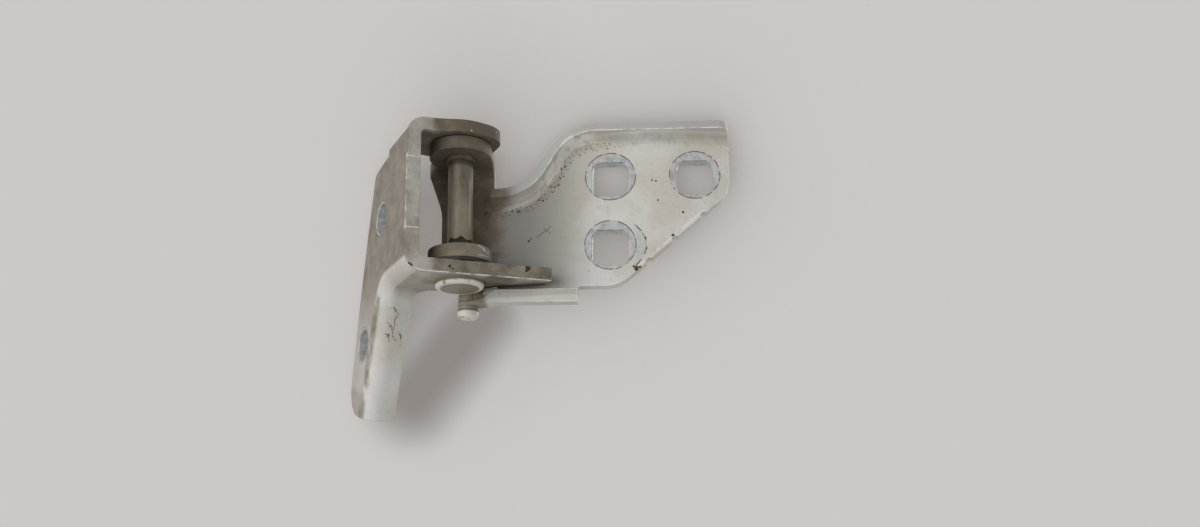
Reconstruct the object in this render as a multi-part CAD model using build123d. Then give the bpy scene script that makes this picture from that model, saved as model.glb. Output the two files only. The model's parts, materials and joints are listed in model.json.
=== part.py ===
"""Van door hinge: a folded clevis bracket and a three-hole leaf that turn on one headed pin.

Frame: Z is the pin's axis and points up, and the origin lies on it halfway between the bracket's ears.
X is square to the bracket's bolt flange, and Y runs back along that flange. The leaf is drawn in a frame of
its own about the same axis, with x along its plate and y to its rear, and is turned into place at the end.
"""
import os
from math import cos, radians, sin, sqrt, tan

from build123d import *

# Bracket: sheet, clevis and folds
bracket_sheet = 5.5
clevis_gap = 52.4
web_offset = 25.7
fold_inner = 2.0
ear_skew = 6.7
ear_front = 12.2
eye_radius = 14.8
upper_ear_reach = 14.3
upper_ear_corner = 7.0

# Bracket: stop finger on the lower ear
finger_reach = 32.4
stop_setback = 10.0

# Bracket: leg with its bolt flange and stiffening wall
upper_hole_back = 21.5
upper_hole_drop = 1.6
bolt_pitch = 52.4
leg_lean = 21.6
bolt_hole = 13.0
hole_to_wall = 13.5
hole_to_back = 7.2
leg_tail = 28.2
leg_end_radius = 12.0
wall_reach = 13.4
ear_to_wall_radius = 6.0
eye_to_wall_radius = 9.0
flange_top_front = 23.4
flange_top_back = 21.5
flange_shoulder = 32.0
shoulder_radius = 3.5
back_bulge = 1.6

# Pin with its head
pin_diameter = 10.0
pin_seat_clearance = 0.02
head_diameter = 19.0
head_thickness = 2.6
head_rim = 1.3
tail_stand = 1.6
tail_chamfer = 1.0

# Bushes and thrust washer
bush_wall = 1.0
bush_running_clearance = 0.05
bush_seat_clearance = 0.02
bush_stand = 1.6
washer_diameter = 25.0
washer_thickness = 1.4
ear_running_gap = 0.35
washer_running_gap = 0.15

# Leaf: channel with its two ears
leaf_sheet = 5.5
leaf_setback = 12.8
leaf_fold_inner = 3.7
leaf_ear_radius = 12.6
channel_right = 11.4
channel_left = 10.5
flare_left = 15.8
flare_start = 6.0
flare_height = 19.4
neck_height = 3.0
neck_blend = 20.0

# Leaf: plate, holes and outline, along the plate's own slightly tilted directions from its first hole
plate_tilt = 2.35
first_hole_out = 60.45
first_hole_up = 14.8
hole_pitch_long = 35.0
hole_pitch_tall = 30.0
fixing_hole = 15.0
fixing_hole_corner = 3.5
fixing_hole_drop = 1.2
edge_right = 14.3
edge_diagonal = 15.4
edge_bottom = 17.4
edge_corner = 14.0
notch_radius = 1.7
notch_depth = 1.1
notch_shares = (0.27, 0.5, 0.76)

# Leaf: raised lip along the top edge
lip_margin = 15.1
lip_angle = 60.0
lip_length = 6.9
lip_fold_inner = 3.0
lip_crest_radius = 16.0
lip_crest_start = 5.5
lip_fall_angle = 60.0
lip_fall = 9.2
lip_hollow_radius = 26.0
lip_run_in = 3.0

# Leaf: apron below the ear, bottom flange and tab
apron_left = 46.0
apron_right = 12.65
flange_floor = 55.4
flange_forward = 6.5
flange_fold_inner = 2.0
tab_reach = 57.6
tab_radius = 4.2
tab_sheet = 1.8
tab_ramp = 6.0

# Stud riveted in the tab
stud_shank = 5.0
stud_shank_clearance = 0.02
stud_collar = 1.4
stud_groove_depth = 0.5
stud_groove_width = 0.7
stud_cap = 2.7
stud_crown = 1.3

# Pose of the leaf in the photograph: degrees from the bolt flange's normal
leaf_pose = 33.5

# Worked-out places on the bracket
ear_inner_z = clevis_gap / 2
ear_outer_z = ear_inner_z + bracket_sheet
web_outer_x = -web_offset
web_inner_x = web_outer_x + bracket_sheet
wall_free_x = web_outer_x + wall_reach
fold_outer = fold_inner + bracket_sheet
same_place = 0.001
far = 3 * bolt_pitch
lean = radians(leg_lean)
down_leg = Vector(0, sin(lean), -cos(lean))
across_leg = Vector(0, cos(lean), sin(lean))
upper_hole = Vector(web_outer_x, upper_hole_back, -upper_hole_drop)
lower_hole = upper_hole + down_leg * bolt_pitch

# Worked-out places on the leaf
leaf_rear = leaf_setback + leaf_sheet
leaf_fold_outer = leaf_fold_inner + leaf_sheet
leaf_top_z = ear_inner_z - ear_running_gap
washer_bottom_z = -ear_inner_z + washer_running_gap
leaf_bottom_z = washer_bottom_z + washer_thickness
lower_fold_z = leaf_bottom_z + leaf_fold_outer
bush_bore = pin_diameter / 2 + bush_running_clearance
bush_outer = bush_bore + bush_wall
tilt = radians(plate_tilt)
plate = Plane(
    origin=(first_hole_out, leaf_setback, first_hole_up),
    x_dir=(cos(tilt), 0, -sin(tilt)),
    z_dir=(0, -1, 0),
)
edge_u = hole_pitch_long + edge_right
foot_inset = lip_fold_inner * tan(radians(lip_angle) / 2)
foot_v = lip_margin - foot_inset
apron_v = leaf_sheet + flange_fold_inner + leaf_sheet - flange_floor
side_view = Plane(origin=(0, 0, 0), x_dir=(0, 1, 0), z_dir=(1, 0, 0))
front_view = Plane(origin=(0, 0, 0), x_dir=(1, 0, 0), z_dir=(0, -1, 0))


def front_edge(x):
    """Y of the ears' skewed front edge at a given X."""
    return -ear_front - x * tan(radians(ear_skew))


def ahead_of_ears():
    """Plan of everything in front of the ears' skewed front edge."""
    return Polygon((-far, front_edge(-far)), (far, front_edge(far)), (far, -far), (-far, -far), align=None)


def leg_point(across, along, x=web_outer_x):
    """Point beside the lower bolt hole: across the leg towards its back edge, and down along it."""
    place = lower_hole + across_leg * across + down_leg * along
    return Vector(x, place.Y, place.Z)


def flat(point):
    """Side-view coordinates of a point."""
    return (point.Y, point.Z)


def wall_line_y(z, offset):
    """Y at height z of the leg wall's face, offset from its front face towards the back."""
    start = leg_point(offset - hole_to_wall, 0)
    return start.Y - (z - start.Z) * tan(lean)


def fold_line(z, offset, radius):
    """Side-view line along an ear's face, round the fold and down the leg wall's face."""
    corner = (wall_line_y(z, offset), z)
    end = flat(leg_point(offset - hole_to_wall, leg_tail))
    return FilletPolyline((-far, z), corner, end, radius=radius)


def bolt_flange():
    """Flat web and bolt flange, with the leg's outline cut to the ear-to-wall fold."""
    front = front_edge(web_inner_x)
    shoulder = (flange_shoulder, flange_top_back)
    tail_back = flat(leg_point(hole_to_back, leg_tail))
    tail_front = flat(leg_point(-hole_to_wall, leg_tail))
    corner = (wall_line_y(-ear_outer_z, 0), -ear_outer_z)
    chord = Vector(*tail_back) - Vector(*shoulder)
    middle = (Vector(*shoulder) + Vector(*tail_back)) * 0.5
    bulge = middle + Vector(-chord.Y, chord.X).normalized() * back_bulge
    edges = [
        Line((front, -ear_outer_z), (front, ear_outer_z)),
        Line((front, ear_outer_z), (upper_ear_reach, ear_outer_z)),
        Line((upper_ear_reach, ear_outer_z), (upper_ear_reach, flange_top_front)),
        Line((upper_ear_reach, flange_top_front), shoulder),
        ThreePointArc(shoulder, (bulge.X, bulge.Y), tail_back),
        Line(tail_back, tail_front),
        Line(tail_front, corner),
        Line(corner, (front, -ear_outer_z)),
    ]
    outline = make_face(edges)
    outline = fillet(outline.vertices().sort_by_distance((*corner, 0))[0], ear_to_wall_radius)
    outline = fillet(outline.vertices().sort_by_distance((*shoulder, 0))[0], shoulder_radius)
    outline = fillet(outline.vertices().sort_by_distance((*tail_back, 0))[0], leg_end_radius)
    return Pos(web_outer_x, 0, 0) * extrude(side_view * outline, bracket_sheet)


def lower_plan():
    """Plan of the lower ear, its eye and stop finger, and of the leg wall behind it."""
    pose = radians(leaf_pose)
    tip = (stop_setback - finger_reach * sin(pose)) / cos(pose)
    root = stop_setback / cos(pose)
    corner = (wall_free_x, eye_radius)
    body = Polygon(
        (web_outer_x, front_edge(web_outer_x)),
        (0, front_edge(0)),
        (0, eye_radius),
        corner,
        (wall_free_x, far),
        (web_outer_x, far),
        align=None,
    )
    finger = Polygon(
        (0, front_edge(0)),
        (finger_reach, front_edge(finger_reach)),
        (finger_reach, tip),
        (0, root),
        align=None,
    )
    plan = body + finger + (Circle(eye_radius) - ahead_of_ears())
    return fillet(plan.vertices().sort_by_distance((*corner, 0))[0], eye_to_wall_radius)


def lower_ear_and_wall():
    """Lower ear that folds down behind its eye into the leg's stiffening wall."""
    under = fold_line(-ear_outer_z, 0, ear_to_wall_radius)
    above = fold_line(-ear_inner_z, bracket_sheet, ear_to_wall_radius + bracket_sheet)
    strip = make_face([under, above, Line(under @ 0, above @ 0), Line(under @ 1, above @ 1)])
    folded = extrude(side_view * strip, far, both=True)
    column = extrude(lower_plan(), far, both=True)
    return folded & column


def upper_ear():
    """Upper ear: skewed front edge, round front corner and round rear."""
    right = upper_ear_reach
    corner = (right, front_edge(right))
    body = Polygon(
        (web_outer_x, front_edge(web_outer_x)),
        corner,
        (right, 0),
        (0, 0),
        (0, right),
        (web_outer_x, right),
        align=None,
    )
    plan = body + (Circle(right) - ahead_of_ears())
    plan = fillet(plan.vertices().sort_by_distance((*corner, 0))[0], upper_ear_corner)
    return Pos(0, 0, ear_inner_z) * extrude(plan, bracket_sheet)


def fold_edges(part, x, heights, beside):
    """Edges of the folds on one face of the web: the two ear lines, the turn and the wall line."""
    found = []
    for edge in part.edges():
        middle = edge @ 0.5
        if abs(middle.X - x) > same_place or abs((edge @ 0).X - x) > same_place:
            continue
        on_ear = any(abs(middle.Z - z) < same_place and abs((edge @ 0).Z - z) < same_place for z in heights)
        wall_y = wall_line_y(middle.Z, beside)
        on_wall = middle.Z < heights[0] and abs(middle.Y - wall_y) < same_place
        round_edge = edge.geom_type == GeomType.CIRCLE
        on_turn = round_edge and middle.Z < heights[0] and middle.Y < wall_y + same_place
        if edge.length > fold_outer / 2 and (on_ear or on_wall or on_turn):
            found.append(edge)
    return found


def hinge_bracket():
    """Clevis bracket: one folded sheet with web, ears, stop finger, bolt flange and leg wall."""
    part = bolt_flange() + lower_ear_and_wall() + upper_ear()
    part -= extrude(ahead_of_ears(), far, both=True)
    part = part.clean()
    outer = fold_edges(part, web_outer_x, (-ear_outer_z, ear_outer_z), 0)
    part = fillet(outer, fold_outer)
    inner = fold_edges(part, web_inner_x, (-ear_inner_z, ear_inner_z), bracket_sheet)
    part = fillet(inner, fold_inner)
    part -= Cylinder(pin_diameter / 2 + pin_seat_clearance, far)
    for centre in (upper_hole, lower_hole):
        part -= Pos(centre) * Rot(0, 90, 0) * Cylinder(bolt_hole / 2, far / 4)
    return part


def on_plate(x, z):
    """Plate directions (u, v) of a place given in the leaf's own frame."""
    local = plate.to_local_coords(Vector(x, leaf_setback, z))
    return (local.X, local.Y)


def channel():
    """Strip behind the pin and its two ears, folded as one channel."""
    outside = Polygon(
        (-far, leaf_bottom_z),
        (leaf_rear, leaf_bottom_z),
        (leaf_rear, leaf_top_z),
        (-far, leaf_top_z),
        align=None,
    )
    outside = fillet(outside.vertices().group_by(Axis.X)[-1], leaf_fold_outer)
    floor_z = leaf_bottom_z + leaf_sheet
    roof_z = leaf_top_z - leaf_sheet
    inside = Polygon(
        (-far, floor_z),
        (leaf_setback, floor_z),
        (leaf_setback, roof_z),
        (-far, roof_z),
        align=None,
    )
    inside = fillet(inside.vertices().group_by(Axis.X)[-1], leaf_fold_inner)
    bar = extrude(side_view * (outside - inside), far, both=True)
    flanks = Polygon(
        (0, 0),
        (leaf_ear_radius, 0),
        (channel_right, leaf_setback),
        (channel_right, far),
        (-flare_left, far),
        (-flare_left, leaf_setback),
        (-sqrt(leaf_ear_radius**2 - flare_start**2), flare_start),
        align=None,
    )
    plan = Circle(leaf_ear_radius) + flanks
    waist = Polygon(
        (-far, -far),
        (-channel_left, -far),
        (-channel_left, neck_height),
        (-flare_left, flare_height),
        (-far, flare_height),
        align=None,
    )
    neck = waist.vertices().sort_by_distance((-channel_left, neck_height, 0))[0]
    waist = fillet(neck, neck_blend)
    behind_pin = Pos(0, flare_start, 0) * extrude(front_view * waist, far, dir=(0, 1, 0))
    return (bar & extrude(plan, far, both=True)) - behind_pin


def lip_path():
    """Foot of the lip on the plate's face: top edge, crest, fall, hollow and run-in to the channel."""
    turn = radians(lip_fall_angle)
    top = Line((edge_u, foot_v), (-lip_crest_start, foot_v))
    crest = JernArc(top @ 1, (-1, 0), lip_crest_radius - foot_inset, lip_fall_angle)
    fall = Line(crest @ 1, (crest @ 1) - Vector(cos(turn), sin(turn)) * lip_fall)
    hollow = JernArc(fall @ 1, fall % 1, lip_hollow_radius + foot_inset, -lip_fall_angle)
    run_in = Line(hollow @ 1, (hollow @ 1) - Vector(lip_run_in, 0))
    return [top, crest, fall, hollow, run_in]


def lip():
    """Lip swept along its foot: a fold and a straight flank, leaning towards the pin's side."""
    lean_over = radians(lip_angle)
    flank = lip_length - foot_inset
    outer_radius = lip_fold_inner + leaf_sheet
    along = Vector(cos(lean_over), sin(lean_over))
    centre = Vector(0, lip_fold_inner)
    inner_fold = CenterArc(centre, lip_fold_inner, -90, lip_angle)
    outer_fold = CenterArc(centre, outer_radius, -90, lip_angle)
    inner_flank = Line(inner_fold @ 1, (inner_fold @ 1) + along * flank)
    outer_flank = Line(outer_fold @ 1, (outer_fold @ 1) + along * flank)
    section = make_face(
        [
            inner_fold,
            outer_fold,
            inner_flank,
            outer_flank,
            Line(inner_flank @ 1, outer_flank @ 1),
            Line(inner_fold @ 0, outer_fold @ 0),
        ]
    )
    start = Plane(origin=(edge_u, foot_v, 0), x_dir=(0, 1, 0), z_dir=(1, 0, 0))
    return sweep(start * section, path=Wire(lip_path()))


def plate_blank():
    """Flat plate below the lip, with its three sides and the apron left of the bottom edge."""
    path = lip_path()
    slant = Vector(hole_pitch_long, hole_pitch_tall).normalized()
    outward = Vector(slant.Y, -slant.X)
    on_edge = Vector(hole_pitch_long, 0) + outward * edge_diagonal
    bottom_v = -hole_pitch_tall - edge_bottom
    right_corner = on_edge + slant * ((edge_u - on_edge.X) / slant.X)
    bottom_corner = on_edge + slant * ((bottom_v - on_edge.Y) / slant.Y)
    behind = on_plate(0, lower_fold_z)
    sides = Polyline(
        path[0] @ 0,
        right_corner,
        bottom_corner,
        (-apron_right, bottom_v),
        (-apron_right, apron_v),
        (-apron_left, apron_v),
        (-apron_left, behind[1]),
        behind,
        (behind[0], (path[-1] @ 1).Y),
        path[-1] @ 1,
    )
    blank = make_face([*path, *sides.edges()])
    for corner in (right_corner, bottom_corner):
        blank = fillet(blank.vertices().sort_by_distance(corner)[0], edge_corner)
    for share in notch_shares:
        place = right_corner * share + bottom_corner * (1 - share)
        blank -= Pos(place + outward * (notch_radius - notch_depth)) * Circle(notch_radius)
    hole = RectangleRounded(fixing_hole, fixing_hole, fixing_hole_corner)
    for u, v in ((0, 0), (0, -hole_pitch_tall), (hole_pitch_long, 0)):
        blank -= Pos(u, v - fixing_hole_drop) * hole
    return extrude(blank, -leaf_sheet)


def bottom_flange():
    """Flange folded forward below the apron."""
    top_v = -flange_floor + leaf_sheet
    section = Polygon(
        (apron_v, -leaf_sheet),
        (apron_v, 0),
        (top_v, 0),
        (top_v, flange_forward),
        (-flange_floor, flange_forward),
        (-flange_floor, -leaf_sheet),
        align=None,
    )
    inner = section.vertices().sort_by_distance((top_v, 0, 0))[0]
    section = fillet(inner, flange_fold_inner)
    outer = section.vertices().sort_by_distance((-flange_floor, -leaf_sheet, 0))[0]
    section = fillet(outer, flange_fold_inner + leaf_sheet)
    start = Plane(origin=(-apron_left, 0, 0), x_dir=(0, 1, 0), z_dir=(1, 0, 0))
    return extrude(start * section, apron_left - apron_right)


def stud_tab():
    """Round-ended tab that runs on from the flange, pressed thinner towards the stud's hole."""
    middle = tab_radius - leaf_sheet
    outline = Polygon(
        (-tab_reach, -leaf_sheet),
        (-apron_left, 0),
        (-apron_left, flange_forward),
        (-tab_reach, middle + tab_radius),
        align=None,
    )
    plan = Pos(-tab_reach, middle) * Circle(tab_radius) + outline
    plan -= Pos(-tab_reach, middle) * Circle(stud_shank / 2 + stud_shank_clearance)
    floor = Plane(origin=(0, -flange_floor, 0), x_dir=(1, 0, 0), z_dir=(0, -1, 0))
    tip = -tab_reach - tab_radius
    profile = Polygon(
        (-apron_left, -flange_floor),
        (-apron_left, -flange_floor + leaf_sheet),
        (-apron_left - tab_ramp, -flange_floor + tab_sheet),
        (tip, -flange_floor + tab_sheet),
        (tip, -flange_floor),
        align=None,
    )
    return extrude(floor * plan, -leaf_sheet) & extrude(profile, far, both=True)


def hinge_leaf():
    """Leaf: plate with lip, apron, bottom flange and tab, and the channel with its two ears."""
    sheet_metal = plate_blank() + lip() + bottom_flange() + stud_tab()
    part = plate.location * sheet_metal + channel()
    part -= Cylinder(bush_outer + bush_seat_clearance, far)
    return part


def ring(outer, inner, bottom_z, top_z):
    """Plain ring about the pin's axis."""
    return Pos(0, 0, bottom_z) * extrude(Circle(outer) - Circle(inner), top_z - bottom_z)


def hinge_pin():
    """Pin with a flat head below the lower ear and a chamfered tail above the upper ear."""
    shank = Pos(0, 0, -ear_outer_z) * extrude(Circle(pin_diameter / 2), 2 * ear_outer_z + tail_stand)
    shank = chamfer(shank.edges().sort_by(Axis.Z)[-1], tail_chamfer)
    head = Pos(0, 0, -ear_outer_z - head_thickness) * extrude(Circle(head_diameter / 2), head_thickness)
    head = fillet(head.edges().sort_by(Axis.Z)[0], head_rim)
    return shank + head


def upper_bush():
    """Bush in the upper leaf ear, standing out below it."""
    return ring(bush_outer, bush_bore, leaf_top_z - leaf_sheet - bush_stand, leaf_top_z)


def lower_bush():
    """Bush in the lower leaf ear, flush with both of its faces."""
    return ring(bush_outer, bush_bore, leaf_bottom_z, leaf_bottom_z + leaf_sheet)


def thrust_washer():
    """Ring between the lower leaf ear and the lower bracket ear."""
    return ring(washer_diameter / 2, bush_bore, washer_bottom_z, leaf_bottom_z)


def leaf_stud():
    """Stud riveted through the tab: a collar on each side of it, a groove and a domed cap, made point down."""
    body = Pos(0, 0, -tab_sheet) * extrude(Circle(stud_shank / 2), tab_sheet)
    body += Pos(0, 0, -leaf_sheet) * extrude(Circle(tab_radius), leaf_sheet - tab_sheet)
    body += extrude(Circle(tab_radius), stud_collar)
    body += Pos(0, 0, stud_collar) * extrude(Circle(tab_radius - stud_groove_depth), stud_groove_width)
    cap = Pos(0, 0, stud_collar + stud_groove_width) * extrude(Circle(tab_radius), stud_cap)
    cap = fillet(cap.edges().sort_by(Axis.Z)[-1], stud_crown)
    middle = plate.from_local_coords(Vector(-tab_reach, -flange_floor, tab_radius - leaf_sheet))
    down = Plane(origin=middle, x_dir=plate.x_dir, z_dir=plate.y_dir * -1)
    return down.location * (body + cap)


def in_pose(part):
    """Turn a piece from the leaf's own frame to the photographed pose."""
    return Rot(0, 0, -leaf_pose) * part


if __name__ == "__main__":
    os.makedirs("parts", exist_ok=True)
    nodes = {
        "hinge_bracket": hinge_bracket(),
        "hinge_pin": hinge_pin(),
        "hinge_leaf": in_pose(hinge_leaf()),
        "upper_bush": in_pose(upper_bush()),
        "lower_bush": in_pose(lower_bush()),
        "thrust_washer": in_pose(thrust_washer()),
        "leaf_stud": in_pose(leaf_stud()),
    }
    for name, shape in nodes.items():
        export_step(shape, os.path.join("parts", name + ".step"))
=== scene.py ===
"""Looks of a worn van door hinge: a painted bracket and leaf that turn on a greasy pin.

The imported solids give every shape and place. The two stampings are shown as copies with broken edges, and
each finish is worked out from the piece's own coordinates, so that wear and grime stay where they belong.
Sizes are in millimetres, apart from those of the lamps, which are in metres.
"""
import json
import logging
import math
from dataclasses import dataclass
from enum import Enum
from typing import Optional, Sequence, Union

import bmesh
import bpy
from mathutils import Matrix, Vector


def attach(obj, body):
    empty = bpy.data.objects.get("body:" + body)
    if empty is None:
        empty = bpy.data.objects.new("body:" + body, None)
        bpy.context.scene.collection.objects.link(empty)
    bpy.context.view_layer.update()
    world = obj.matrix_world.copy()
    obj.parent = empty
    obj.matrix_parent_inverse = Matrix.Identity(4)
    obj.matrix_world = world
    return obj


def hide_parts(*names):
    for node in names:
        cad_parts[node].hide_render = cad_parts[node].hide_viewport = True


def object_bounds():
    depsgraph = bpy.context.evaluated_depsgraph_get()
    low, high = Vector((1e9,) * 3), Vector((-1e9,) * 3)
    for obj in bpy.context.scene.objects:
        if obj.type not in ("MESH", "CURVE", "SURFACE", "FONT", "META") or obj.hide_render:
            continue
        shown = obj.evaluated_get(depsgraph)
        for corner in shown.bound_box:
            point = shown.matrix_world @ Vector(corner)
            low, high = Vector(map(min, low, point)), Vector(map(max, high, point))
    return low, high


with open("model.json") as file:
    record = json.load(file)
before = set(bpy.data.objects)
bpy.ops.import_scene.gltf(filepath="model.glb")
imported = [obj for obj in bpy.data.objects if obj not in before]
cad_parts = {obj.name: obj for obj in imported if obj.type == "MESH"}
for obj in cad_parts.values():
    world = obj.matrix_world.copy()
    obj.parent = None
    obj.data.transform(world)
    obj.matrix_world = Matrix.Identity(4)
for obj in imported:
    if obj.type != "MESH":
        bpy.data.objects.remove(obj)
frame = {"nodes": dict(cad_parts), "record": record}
cad_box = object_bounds()

MM = 0.001
LOG = logging.getLogger("hinge")

Socket = bpy.types.NodeSocket
Feed = Union[Socket, float, Sequence[float]]
Colour = tuple[float, float, float, float]
Point = tuple[float, float, float]
# A fade is two places: its mask is 0 at the first and 1 at the second.
Fade = tuple[float, float]
# A belt is a middle, a half width and a soft margin.
Belt = tuple[float, float, float]
# A line is its two ends, as two coordinates each.
Line = tuple[float, float, float, float]


class Body(Enum):
    """Rigid bodies of the hinge, as the frame names them."""

    BRACKET = "bracket"
    LEAF = "leaf"


class Part(Enum):
    """Solids of the hinge, as the frame names them."""

    BRACKET = "hinge_bracket"
    LEAF = "hinge_leaf"
    PIN = "hinge_pin"
    UPPER_BUSH = "upper_bush"
    LOWER_BUSH = "lower_bush"
    WASHER = "thrust_washer"
    STUD = "leaf_stud"


def tone(red: int, green: int, blue: int) -> Colour:
    """Linear colour of a tone written in display values.

    Args:
        red: red from 0 to 255.
        green: green from 0 to 255.
        blue: blue from 0 to 255.

    Returns:
        The linear colour, quite opaque.
    """
    # The display's usual curve, straight near black and a power above.
    parts = [value / 255 for value in (red, green, blue)]
    linear = [part / 12.92 if part <= 0.04045 else ((part + 0.055) / 1.055) ** 2.4 for part in parts]
    return (*linear, 1.0)


def show(made: bmesh.types.BMesh, name: str, *materials: bpy.types.Material) -> bpy.types.Object:
    """Turn a modelled shape into an object of the scene.

    Args:
        made: the shape, which is used up.
        name: name of the object and of its mesh.
        materials: finishes, in the order of the faces' indices.

    Returns:
        The new object, at the origin.
    """
    mesh = bpy.data.meshes.new(name)
    made.to_mesh(mesh)
    made.free()
    for material in materials:
        mesh.materials.append(material)
    piece = bpy.data.objects.new(name, mesh)
    bpy.context.collection.objects.link(piece)
    return piece


class Sheet:
    """A material's node tree, written as short calls that hand back output sockets."""

    BUMP = 0.6
    # How a noise's seed moves it, along X, Y and Z.
    SHIFT = (1.0, 0.7, -1.0)
    # Where a patch's mask is 0 and 1, as shares of its radius.
    RIM = (1.4, 0.9)

    def __init__(self, name: str) -> None:
        """Start an empty material whose places are in millimetres.

        Args:
            name: the material's name.
        """
        self.material = bpy.data.materials.new(name)
        self.material.use_nodes = True
        self.tree = self.material.node_tree
        self.tree.nodes.clear()
        place = self.node("ShaderNodeTexCoord").outputs["Object"]
        self.place = self.vector("MULTIPLY", place, (1 / MM, 1 / MM, 1 / MM))
        split = self.node("ShaderNodeSeparateXYZ")
        self.feed(split.inputs[0], self.place)
        self.x, self.y, self.z = split.outputs

    def node(self, kind: str, **settings: object) -> bpy.types.Node:
        """Add a node and set its properties.

        Args:
            kind: the node's type name.
            settings: property values by name.

        Returns:
            The new node.
        """
        made = self.tree.nodes.new(kind)
        for key, value in settings.items():
            setattr(made, key, value)
        return made

    def feed(self, socket: Socket, value: Feed) -> None:
        """Link a socket to another one, or set it to a constant.

        Args:
            socket: the input to fill.
            value: an output socket, a number, or a colour or vector.
        """
        if isinstance(value, bpy.types.NodeSocket):
            self.tree.links.new(value, socket)
        else:
            socket.default_value = value

    def math(self, operation: str, first: Feed, second: Feed = 0.0) -> Socket:
        """Work a value out from one or two others.

        Args:
            operation: the maths node's operation.
            first: the first value.
            second: the second value, where the operation takes one.

        Returns:
            The result.
        """
        made = self.node("ShaderNodeMath", operation=operation)
        self.feed(made.inputs[0], first)
        self.feed(made.inputs[1], second)
        return made.outputs[0]

    def join(self, operation: str, values: Sequence[Feed]) -> Socket:
        """Join values one after another.

        Args:
            operation: the maths node's operation.
            values: two or more values.

        Returns:
            The result.
        """
        made, *others = values
        for other in others:
            made = self.math(operation, made, other)
        return made

    def product(self, *values: Feed) -> Socket:
        """Product of two or more values."""
        return self.join("MULTIPLY", values)

    def most(self, *values: Feed) -> Socket:
        """Largest of two or more values."""
        return self.join("MAXIMUM", values)

    def total(self, *values: Feed) -> Socket:
        """Sum of two or more values."""
        return self.join("ADD", values)

    def less(self, first: Feed, second: Feed) -> Socket:
        """First value less the second."""
        return self.math("SUBTRACT", first, second)

    def outside(self, mask: Feed) -> Socket:
        """Mask of everything that another mask leaves out."""
        return self.less(1.0, mask)

    def size(self, value: Feed) -> Socket:
        """Value without its sign."""
        return self.math("ABSOLUTE", value)

    def reach(self, across: Feed, up: Feed) -> Socket:
        """Length of the diagonal of two distances."""
        return self.math("SQRT", self.total(self.product(across, across), self.product(up, up)))

    def vector(self, operation: str, first: Feed, second: Feed) -> Socket:
        """Work a vector out from two others.

        Args:
            operation: the vector maths node's operation.
            first: the first vector.
            second: the second vector.

        Returns:
            The result.
        """
        made = self.node("ShaderNodeVectorMath", operation=operation)
        self.feed(made.inputs[0], first)
        self.feed(made.inputs[1], second)
        return made.outputs["Vector"]

    def along(self, direction: Vector, start: Vector) -> Socket:
        """Measure how far a place lies along a direction.

        Args:
            direction: the direction, of length 1.
            start: where the distance is 0.

        Returns:
            The distance.
        """
        made = self.node("ShaderNodeVectorMath", operation="DOT_PRODUCT")
        self.feed(made.inputs[0], self.vector("SUBTRACT", self.place, tuple(start)))
        made.inputs[1].default_value = tuple(direction)
        return made.outputs["Value"]

    def ramp(self, value: Feed, none: float, full: float) -> Socket:
        """Fade smoothly between two values.

        Args:
            value: the value to follow.
            none: where the mask is 0, above or below full.
            full: where the mask is 1.

        Returns:
            The mask.
        """
        made = self.node("ShaderNodeMapRange", interpolation_type="SMOOTHSTEP")
        self.feed(made.inputs["Value"], value)
        rising = none < full
        made.inputs["From Min"].default_value = min(none, full)
        made.inputs["From Max"].default_value = max(none, full)
        made.inputs["To Min"].default_value = 0.0 if rising else 1.0
        made.inputs["To Max"].default_value = 1.0 if rising else 0.0
        return made.outputs[0]

    def band(self, value: Feed, middle: float, half: float, soft: float) -> Socket:
        """Mask a belt of values.

        Args:
            value: the value to follow.
            middle: the belt's middle.
            half: half of the width over which the mask is 1.
            soft: the margin over which it fades.

        Returns:
            The mask.
        """
        gap = self.size(self.less(value, middle))
        return self.ramp(gap, half + soft, half)

    def noise(
        self, grain: float, detail: float, rough: float, seed: float = 0.0, squeeze: Point = (1.0, 1.0, 1.0)
    ) -> Socket:
        """Noise with a grain in millimetres.

        Args:
            grain: size of the largest blotches.
            detail: number of finer layers.
            rough: strength of the finer layers.
            seed: shift of the pattern, so that two noises differ.
            squeeze: how much finer the pattern is along X, Y and Z.

        Returns:
            A value around 0.5.
        """
        made = self.node("ShaderNodeTexNoise", noise_dimensions="3D")
        moved = self.vector("ADD", self.place, [share * seed for share in self.SHIFT])
        self.feed(made.inputs["Vector"], self.vector("MULTIPLY", moved, squeeze))
        made.inputs["Scale"].default_value = 1 / grain
        made.inputs["Detail"].default_value = detail
        made.inputs["Roughness"].default_value = rough
        return made.outputs["Fac"]

    def waver(self, grain: float, detail: float, rough: float, seed: float) -> Socket:
        """Noise around 0, with the grain, detail, roughness and seed of a noise."""
        return self.less(self.noise(grain, detail, rough, seed), 0.5)

    def mix(self, share: Feed, first: Feed, second: Feed) -> Socket:
        """Lay one colour over another.

        Args:
            share: how much of the second colour shows.
            first: the colour below.
            second: the colour above.

        Returns:
            The mixed colour.
        """
        made = self.node("ShaderNodeMix", data_type="RGBA")
        self.feed(made.inputs["Factor"], share)
        self.feed(made.inputs[6], first)
        self.feed(made.inputs[7], second)
        return made.outputs[2]

    def hollow(self, span: float, samples: int = 8, towards: Optional[Vector] = None) -> Socket:
        """Measure how much of its surroundings nearby metal hides from a place.

        Args:
            span: how far metal counts as near.
            samples: number of looks taken.
            towards: the side that is looked at, or None for the face's own side.

        Returns:
            The hidden share.
        """
        made = self.node("ShaderNodeAmbientOcclusion", samples=samples)
        made.inputs["Distance"].default_value = span * MM
        if towards is not None:
            facing = self.node("ShaderNodeCombineXYZ")
            for socket, value in zip(facing.inputs, towards):
                socket.default_value = value
            self.feed(made.inputs["Normal"], facing.outputs[0])
        return self.outside(made.outputs["AO"])

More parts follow.
